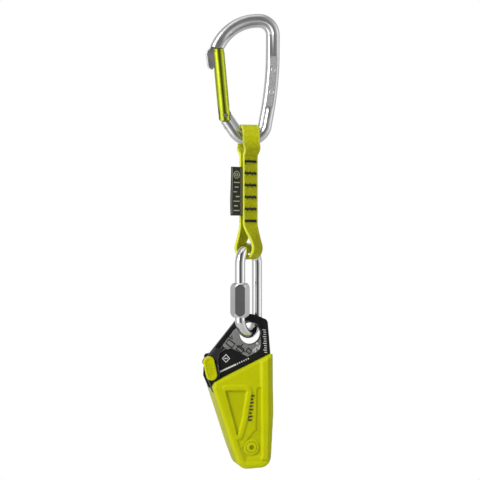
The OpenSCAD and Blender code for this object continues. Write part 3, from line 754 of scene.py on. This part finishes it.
# ---- Brake body ----
FRONT, REAR, SPLIT = -6.6, 21.6, 13.7
PLATE_F, PLATE_B, SWING_F, SWING_B = -1.7, 1.7, 14.4, 17.4
EYE, HINGE = (-9.6, -237), (-9.3, -324.7)
CH_C, CH_D, CH_N = np.array([-40.9, -273]), np.array([0.907, 0.421]), np.array([-0.421, 0.907])
LATCH, LATCH_D = np.array([-40.4, -260]), np.array([0.978, 0.209])
LATCH_END = LATCH + 2.5 * LATCH_D
COVER = [[-38, -274, 1], [-39.9, -278, 2], [-25, -323.5, 40], [-18.2, -341.6, 8], [6, -340.4, 9],
         [8.2, -300, 40], [7.7, -252.3, 1.2]]
LOWER = [[-38.9, -280.6, 1.5], [-35.9, -284.6, 8], [-22.9, -322.5, 30], [-15.6, -337.8, 7], [3.2, -337, 8],
         [5.6, -300, 40]]
PLATE = [[-14.2, -218.8, 15.1], [-43.1, -254.2, 3], [-43.6, -270.5, 2]] + LOWER \
    + [[6.6, -252, 20], [4.5, -226.9, 4]]
SWING = [[-42.3, -253.8, 2], [-43.2, -270.5, 2]] + LOWER + [[6.4, -245.5, 3]]
FRONT_POSTS, REAR_POSTS = ((-27.4, -300.5), (1, -318)), ((-28, -296), (1, -296))
POST_R, SCREW_R = 3.4, 1.25


def channel(a, h):
    return CH_C + CH_D * a + CH_N * h


def strip(a0, a1, h0, h1):
    return [channel(a0, h0), channel(a1, h0), channel(a1, h1), channel(a0, h1)]


def prism(poly, y0, y1):
    return from_raw(*extrude_poly([np.asarray(p)[:2] for p in poly], y0, y1))


plate_line = rounded(PLATE, 12)
plate = slab(plate_line, PLATE_F, PLATE_B, 0.45,
             [circle(EYE, 8.25, 72), circle(HINGE, 3.02), stadium(LATCH, LATCH_END, 2.3)])
place("plate_front", plate, "device", "black", ("main_plate",), 30)
swing = slab(rounded(SWING, 12), SWING_F, SWING_B, 0.4, [circle(HINGE, 3.05)])
keeper_open = LATCH - unit((0.913, 0.407)) * 12
swing = combine(swing, [prism(stadium(LATCH, LATCH_END, 2.5), SWING_F - 1, SWING_B + 1),
                        prism(stadium(keeper_open, LATCH, 2.5), SWING_F - 1, SWING_B + 1)]
                + [pin_y(p, 2.3, SWING_F - 1, SWING_F + 1.3) for p in REAR_POSTS]
                + [pin_y(p, 1.6, SWING_F - 1, SWING_B + 1) for p in REAR_POSTS], "DIFFERENCE")
place("plate_rear", tidy(swing), "swing_half", "black", ("swing_plate",), 30)

# generic printed and etched marks on the plate's front
ETCH = [[-12.4, -226.2, 6], [-22.6, -234.6, 6], [-31.6, -246.4, 1], [-27.6, -249.4, 0.6],
        [-24.4, -248.2, 0.6], [-11.6, -255.2, 0.6], [-3.6, -251.2, 0.6], [-0.9, -247.6, 1.5],
        [-1.4, -232.2, 5]]
etch = slab(rounded(ETCH, 10), PLATE_F - 0.07, PLATE_F + 0.12, 0.03, [circle(EYE, 8.75, 72)], 1)
place("plate_etching", etch, "device", "etched", (), 40)
FACE_Y = PLATE_F - 0.06


def flat_line(points, r, closed=False):
    """A printed line of width 2r, whose face is 0.09 beyond FACE_Y."""
    pts = [np.asarray(p, float) for p in points]
    n = len(pts)
    left, right = [], []
    for i, p in enumerate(pts):
        a = pts[(i - 1) % n] if closed or i else p
        b = pts[(i + 1) % n] if closed or i < n - 1 else p
        d = unit(b - a)
        q = np.array([-d[1], d[0]])
        left.append(p + q * r)
        right.append(p - q * r)
    rings = [[(a[0], y, a[1]), (b[0], y, b[1]), (b[0], y + 0.2, b[1]), (a[0], y + 0.2, a[1])]
             for a, b, y in ((a, b, FACE_Y - 0.09) for a, b in zip(left, right))]
    return skin(rings, closed)


art = []
# a plain lozenge with a bar, and a rope line that breaks into dots
art.append(flat_line([(-31.4, -256.2), (-28.6, -253.2), (-25.8, -256.2), (-28.6, -259.2)], 0.42, True))
art.append(flat_line([(-29.9, -256.2), (-27.3, -256.2)], 0.4))
rope_from, rope_to = np.array([-33.2, -266.4]), np.array([-10.4, -256.4])
art.append(flat_line([rope_from, rope_from * 0.45 + rope_to * 0.55], 0.62))
for i in range(6):
    t = 0.58 + 0.075 * i
    c = rope_from * (1 - t) + rope_to * t
    art.append(flat_line([c, c + unit(rope_to - rope_from) * 0.9], 0.55))
# a figure of plain strokes: two chevrons and a dot
art.append(flat_line([(-7.6, -251.2), (-5.2, -248.2), (-5.4, -251.8)], 0.5))
art.append(flat_line([(-4.6, -247.4), (-2.6, -249.6), (-2.2, -246.2)], 0.5))
art.append(flat_line(arc((-4.0, -245.0), 0.6, 0, 360, 10)[:-1], 0.35, True))
for i in range(11):
    z = -234.4 - 1.75 * i
    x = 2.0 + 0.09 * i
    art.append(flat_line([(x - (1.1 if i % 3 else 1.7), z), (x + 1.0, z - 0.25)], 0.32))
make("plate_print", *joined(art), "device", "white", "black_anodised", (), 80)
thin = [flat_line([(-22.6, -248.6), (-28.4, -247.8), (-33.4, -251.6), (-35.0, -256.4), (-34.6, -263.8),
                   (-33.4, -268.0)], 0.22),
        flat_line([(-31.6, -247.0), (-35.7, -254.8), (-35.4, -260.2), (-33.9, -270.6)], 0.2)]
make("plate_outline", *joined(thin), "device", "etched", "black_anodised", (), 80)
dark = []
for (x, z), w, h in (((-25.2, -244.8), 3.0, 1.9), ((-17.4, -249.4), 2.6, 1.8), ((-10.6, -250.8), 1.7, 1.5)):
    tilt = np.array([0.80, -0.60])
    q = np.array([0.60, 0.80])
    c = np.array([x, z])
    corners = [c + tilt * w * a + q * h * b for a, b in ((-1, -1), (1, -1), (1, 1), (-1, 1))]
    dark.append(flat_line(corners, 0.55, True))
dark.append(flat_line([(-26.6, -239.6), (-23.4, -241.4), (-24.4, -238.8)], 0.45))
dark.append(flat_line([(-15.2, -245.2), (-17.8, -247.6)], 0.4))
dark.append(flat_line([(-20.4, -246.2), (-13.6, -251.6)], 0.4))
make("plate_blocks", *joined(dark), "device", "mark_black", "black_anodised", (), 80)

housing = slab(rounded([[-42.6, -254.6, 2.5], [-43.1, -269.6, 1], [-39.3, -273.8, 0.5], [-34.6, -271.9, 1],
                        [-36.9, -260, 8], [-32.4, -248.6, 1], [-37.2, -247.6, 1]], 10),
               PLATE_F - 2, PLATE_F, 0.5, [stadium(LATCH, LATCH_END, 2.3)])
place("latch_frame", housing, "device", "housing", ("latch_housing",), 30)
tilt = unit((-0.209, 0.978))
mid = np.array([-41.7, -263.4])
button = slab(stadium(mid + tilt * 5.3, mid - tilt * 5.1, 4.25, 24), PLATE_F - 5.2, PLATE_F - 2.15, 0.9,
              (), 5)
dish = slab(stadium(mid + tilt * 4.6, mid - tilt * 4.6, 2.9, 20), PLATE_F - 5.9, PLATE_F - 4.85, 0.3, (), 3)
button = combine(button, [dish, pin_y(LATCH, 2, PLATE_F - 3.4, 0)], "DIFFERENCE")
place("latch_key", tidy(button), "latch", "lime", ("latch_button",), 30)
grips = []
for i in (-2, -1, 0, 1, 2):
    c = mid + tilt * 1.9 * i
    w = 1.9 if abs(i) < 2 else 1.4
    ends = [(c[0] + LATCH_D[0] * s, PLATE_F - 4.85, c[1] + LATCH_D[1] * s) for s in (-w, w)]
    grips.append(tube(ends, 0.32, 8))
make("latch_grips", *joined(grips), "latch", "lime", "lime_plastic")

turn_latch = Matrix.Translation(Vector((LATCH[0], 6, LATCH[1])) * MM) \
    @ Matrix.Rotation(math.radians(90 - math.degrees(math.atan2(LATCH_D[1], LATCH_D[0]))), 4, "Y")
latch_coil = from_raw(*helix(1.7, 0.3, 7, 10.2, 2.1))
latch_coil.transform(turn_latch)
latch_coil = place("latch_coil", latch_coil, "device", "steel", ("latch_spring",), 60)
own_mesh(latch_coil)

# ---- Covers ----
RECESS = rounded([[-30.3, -280.4, 0.6], [-20.5, -317.2, 0.8], [-16.4, -303, 4], [-12.5, -280.4, 1.6]], 8)
POCKET = rounded([[-17.0, -325.4, 1], [-13.4, -333.4, 1], [-2.8, -331.8, 1], [-2.1, -316, 1],
                  [-6.4, -310.6, 2], [-12.6, -318.6, 2]], 8)
RIDGE = [(-1.7, -258.6), (3.9, -255.9), (4.4, -300), (3.6, -334.6), (-1.6, -334.6)]
cover_line = rounded(COVER, 14)


def edge_fall(edge, r):
    """How far a rounded outer edge of radius r drops, at a distance edge from the outline."""
    return np.where(edge < r, r - np.sqrt(np.maximum(0, r * r - (r - np.clip(edge, 0, r)) ** 2)), 0)


def front_height(x, z):
    """How far the front cover's face stands proud of its base plane, in millimetres."""
    edge = -distance_to(cover_line, x, z)
    level = 0.0 * x
    # raised frame round the recess, which runs down into a rib
    around = distance_to(RECESS, x, z)
    level = np.maximum(level, 1.05 * ease(around - 3.7, 1.7) * ease(-(z + 320), 3.0))
    # the left side and the bottom are one wide band
    left = distance_to([(-42, -277.5), (-33.5, -277.5), (-19.6, -322), (-14.6, -336.0), (6, -336.4),
                        (7, -345), (-22, -345)], x, z)
    level = np.maximum(level, 1.15 * ease(left, 1.8))
    # right ridge
    level = np.maximum(level, 1.75 * ease(distance_to(RIDGE, x, z) - 0.2, 2.6))
    # valley between the ridge and the rib
    valley = distance_to([(-4.6, -280), (-2.2, -279), (-2.0, -331), (-5.4, -312), (-4.8, -296)], x, z)
    slope = np.clip((x + 7.2) / 4.8, 0, 1)
    level -= (0.4 + 2.7 * slope) * ease(valley - 0.3, 2.0)
    # recess and pocket; the boss line below holds them, and the valley, to 0.9 mm deep
    deep = ease(distance_to(RECESS, x, z) + 0.5, 1.5)
    level = level * (1 - deep) - (0.9 + 3.3 * np.clip((-13.5 - x) / 14.5, 0, 1)) * deep
    floor_of = ease(distance_to(POCKET, x, z) + 0.2, 1.6)
    level = level * (1 - floor_of) - 0.9 * floor_of
    boss = np.abs(np.hypot(x - HINGE[0], z - HINGE[1]) - 5.0)
    level = np.maximum(level, -0.9 + 1.0 * ease(boss - 0.9, 1.2))
    top = ease(-(CH_N[0] * (x - CH_C[0]) + CH_N[1] * (z - CH_C[1])) - 2.6, 1.2)
    return level - edge_fall(edge, 2.6) * (1 - 0.55 * top)


def relief(outline_box, height, front, back, step, sign):
    """A closed block whose face follows height(x, z); sign -1 faces the viewer."""
    (x0, z0), (x1, z1) = outline_box
    nx, nz = int((x1 - x0) / step), int((z1 - z0) / step)
    xs, zs = np.linspace(x0, x1, nx + 1), np.linspace(z0, z1, nz + 1)
    gx, gz = np.meshgrid(xs, zs)
    face = front + sign * height(gx, gz)
    verts = [(a, b, c) for a, b, c in zip(gx.ravel(), face.ravel(), gz.ravel())]
    verts += [(a, back, c) for a, c in zip(gx.ravel(), gz.ravel())]
    return tidy(raw_mesh("relief", verts, block_faces(nx, nz)), 0)


BOX = ((-42, -344), (10, -250))
inner_line = rounded([[-36.3, -276.2, 0.5], [-37.4, -278.5, 1], [-22.9, -324.1, 38], [-16.9, -339.9, 6.3],
                      [4.4, -338.9, 7.3], [6.5, -300, 38], [6.0, -254.9, 0.3]], 10)
cover = relief(BOX, front_height, FRONT, SPLIT, 0.5, -1)
cover = combine(cover, [prism(cover_line, -12, SPLIT)], "INTERSECT")
cuts = [prism(inner_line, FRONT + 4.1, SPLIT + 1), prism(strip(-10, 70, -6.2, 30), PLATE_F, SPLIT + 1),
        prism(strip(-10, 70, 3, 30), -12, PLATE_F + 0.01),
        prism(strip(-10, 2.6, -9.9, 0), PLATE_F, SPLIT + 1),
        prism(plate_line, PLATE_F - 0.02, PLATE_B + 0.02), pin_y(HINGE, 4.2, -12, 0)]
cover = combine(cover, cuts, "DIFFERENCE")
posts = [pin_y(p, POST_R, FRONT + 1.5, PLATE_F) for p in FRONT_POSTS]
ring = combine(pin_y(HINGE, 6, FRONT + 1, PLATE_F - 2), [pin_y(HINGE, 4.2, -12, 0)], "DIFFERENCE")
cover = combine(cover, posts + [ring], "UNION")
cover = combine(cover, [pin_y(p, SCREW_R, -5, 0) for p in FRONT_POSTS], "DIFFERENCE")
place("cover_front", tidy(cover), "device", "cover", ("front_cover",), 42)

# small generic printed dashes along the rib
dashes = []
for i, w in enumerate((1.7, 1.1, 1.7, 1.4, 1.7, 0.9, 1.7, 1.3)):
    z = -285.0 - 2.65 * i
    x = -9.4 - 0.2 * i
    y = float(FRONT - front_height(np.array([x]), np.array([z]))[0]) - 0.03
    dashes.append(tube([(x - w, y, z - 0.2), (x + w, y, z + 0.2)], 0.66, 6))
    if i % 2 == 0:
        dashes.append(tube([(x - w, y, z - 0.2), (x - w, y, z - 1.7)], 0.5, 6))
make("cover_dashes", *joined(dashes), "device", "mark", "lime_plastic")

cap = lathe([(0.0001, 0), (3.55, 0), (4.05, 0.45), (4.05, 4.0), (0.0001, 4.0)], 64)
cap.transform(Matrix.Translation((HINGE[0] * MM, (FRONT - 0.4) * MM, HINGE[1] * MM))
              @ Matrix.Rotation(-math.pi / 2, 4, "X"))
hole = from_raw(*skin([[(HINGE[0] + 2.15 * math.cos(math.radians(60 * i + 30)), y,
                         HINGE[1] + 2.15 * math.sin(math.radians(60 * i + 30))) for i in range(6)]
                       for y in (FRONT - 2, FRONT + 1.8)]))
cap = combine(cap, [hole], "DIFFERENCE")
place("hinge_plug", tidy(cap), "device", "lime", ("hinge_cap",), 30)

DISH = rounded([[-31, -283, 3], [-14.5, -330, 3], [-1, -330, 3], [1.5, -268, 3]], 10)


def rear_height(x, z):
    edge = -distance_to(cover_line, x, z)
    level = -0.75 * ease(distance_to(DISH, x, z), 1.8)
    grips = np.sin(2 * np.pi * (x * CH_D[0] + z * CH_D[1]) / 5.2) ** 8
    level += 0.45 * grips * ease(distance_to(DISH, x, z) + 3.5, 2.0)
    return level - edge_fall(edge, 3.0)


back = relief(BOX, rear_height, REAR, SPLIT + 0.3, 0.55, 1)
back = combine(back, [prism(cover_line, SPLIT + 0.3, REAR + 2)], "INTERSECT")
back = combine(back, [prism(inner_line, SPLIT, REAR - 2.6), prism(strip(-10, 70, -6.2, 30), 0, SWING_B),
                      prism(strip(-10, 70, 3, 30), 0, 40), prism(strip(-10, 2.6, -9.9, 0), 0, SWING_B),
                      prism(rounded(SWING, 12), SWING_F - 0.5, SWING_B + 0.02)], "DIFFERENCE")
back = combine(back, [pin_y(p, POST_R, SWING_B, REAR - 2) for p in REAR_POSTS], "UNION")
back = combine(back, [pin_y(p, SCREW_R, SWING_B - 1, SWING_B + 3) for p in REAR_POSTS], "DIFFERENCE")
place("cover_rear", tidy(back), "swing_half", "cover", ("rear_cover",), 42)


# ---- Carried-over CAD nodes ----
for name, mat in (("gate_plunger", "steel"), ("brake_block", "block"), ("wear_plate", "hard"),
                  ("upper_guide", "block"), ("hinge_pin", "hard"), ("hinge_bush", "bronze"),
                  ("stop_pin", "hard"), ("block_screws", "hard"), ("front_cover_screws", "hard"),
                  ("rear_cover_screws", "hard"), ("hinge_washer", "steel"),
                  ("latch_pin", "hard"), ("latch_ring", "steel")):
    nodes[name].data.materials.clear()
    nodes[name].data.materials.append(M[mat])

# ---- Floor, light and camera ----
middle = Vector((-0.0172, 0, -0.1648))
floor_z = cad_box[0][2] - 0.12
FLOOR_R, FLOOR_SIDES = 0.48, 96
turns = [2 * math.pi * i / FLOOR_SIDES for i in range(FLOOR_SIDES)]
floor_mesh = bpy.data.meshes.new("floor")
floor_mesh.from_pydata([(middle.x + FLOOR_R * math.cos(t), FLOOR_R * math.sin(t), floor_z) for t in turns],
                       [], [tuple(range(FLOOR_SIDES))])
floor = bpy.data.objects.new("floor", floor_mesh)
floor.data.materials.append(material("pale_floor", (0.9, 0.9, 0.9), 0.9, 0, 0.01, 3))
scene.collection.objects.link(floor)

world = bpy.data.worlds.new("studio")
world.use_nodes = True
scene.world = world
wt = world.node_tree
split = put(wt, "SeparateXYZ", {"Vector": put(wt, "TexCoord").outputs["Generated"]})
across = put(wt, "Math", {0: split.outputs["X"], 1: split.outputs["Y"]}, operation="ARCTAN2")
turn = put(wt, "MapRange", {"Value": across.outputs[0], "From Min": -math.pi, "From Max": math.pi})
bands = put(wt, "ValToRGB", {"Fac": turn.outputs["Result"]})
grey_steps(bands.color_ramp, ((0, 0.10), (0.05, 0.16), (0.10, 1.10), (0.15, 1.80), (0.21, 1.80),
                              (0.27, 0.70), (0.36, 0.50), (0.45, 0.95), (0.58, 0.95), (0.66, 0.45),
                              (0.74, 0.75), (0.86, 0.80), (0.92, 0.55), (0.96, 0.12), (1, 0.10)))
overhead = put(wt, "MapRange", {"Value": split.outputs["Z"], "From Min": 0.1, "From Max": 0.95,
                                "To Min": 1.0, "To Max": 0.5})
# matt surfaces see a dimmer room than polished ones, so that the key light models the relief
path = put(wt, "LightPath")
room = put(wt, "MapRange", {"Value": path.outputs["Is Diffuse Ray"], "To Min": 1.0, "To Max": 0.56})
background = wt.nodes["Background"]
wt.links.new(product(wt, bands.outputs["Color"], overhead.outputs["Result"]), background.inputs["Color"])
wt.links.new(room.outputs["Result"], background.inputs["Strength"])
# the camera itself sees plain white
plain = put(wt, "Background", {"Color": (1, 1, 1, 1), "Strength": 1.0})
mixer = put(wt, "MixShader", {0: path.outputs["Is Camera Ray"], 1: background.outputs["Background"],
                              2: plain.outputs["Background"]})
wt.links.new(mixer.outputs["Shader"], wt.nodes["World Output"].inputs["Surface"])


def soft_light(name, at, size, watts):
    data = bpy.data.lights.new(name, "AREA")
    data.shape = "RECTANGLE"
    data.size, data.size_y = size
    data.energy = watts
    obj = bpy.data.objects.new(name, data)
    obj.location = at
    obj.rotation_euler = (middle - Vector(at)).to_track_quat("-Z", "Y").to_euler()
    scene.collection.objects.link(obj)


soft_light("key", (-0.9, -0.62, 0.4), (0.35, 0.6), 9)
soft_light("fill", (0.9, -0.45, 0.05), (0.35, 0.9), 0.9)
soft_light("above", (0.0, -0.2, 0.9), (0.8, 0.8), 1.5)

camera = bpy.data.cameras.new("camera")
camera.sensor_width = 36
camera.lens = 106.5
CAMERA_AWAY, CAMERA_TURN = 1.1, -12
camera_object = bpy.data.objects.new("camera", camera)
side = math.radians(CAMERA_TURN)
camera_object.location = middle + CAMERA_AWAY * Vector((math.sin(side), -math.cos(side), 0))
camera_object.rotation_euler = (middle - camera_object.location).to_track_quat("-Z", "Y").to_euler()
scene.collection.objects.link(camera_object)
scene.camera = camera_object
scene.view_settings.view_transform = "Standard"
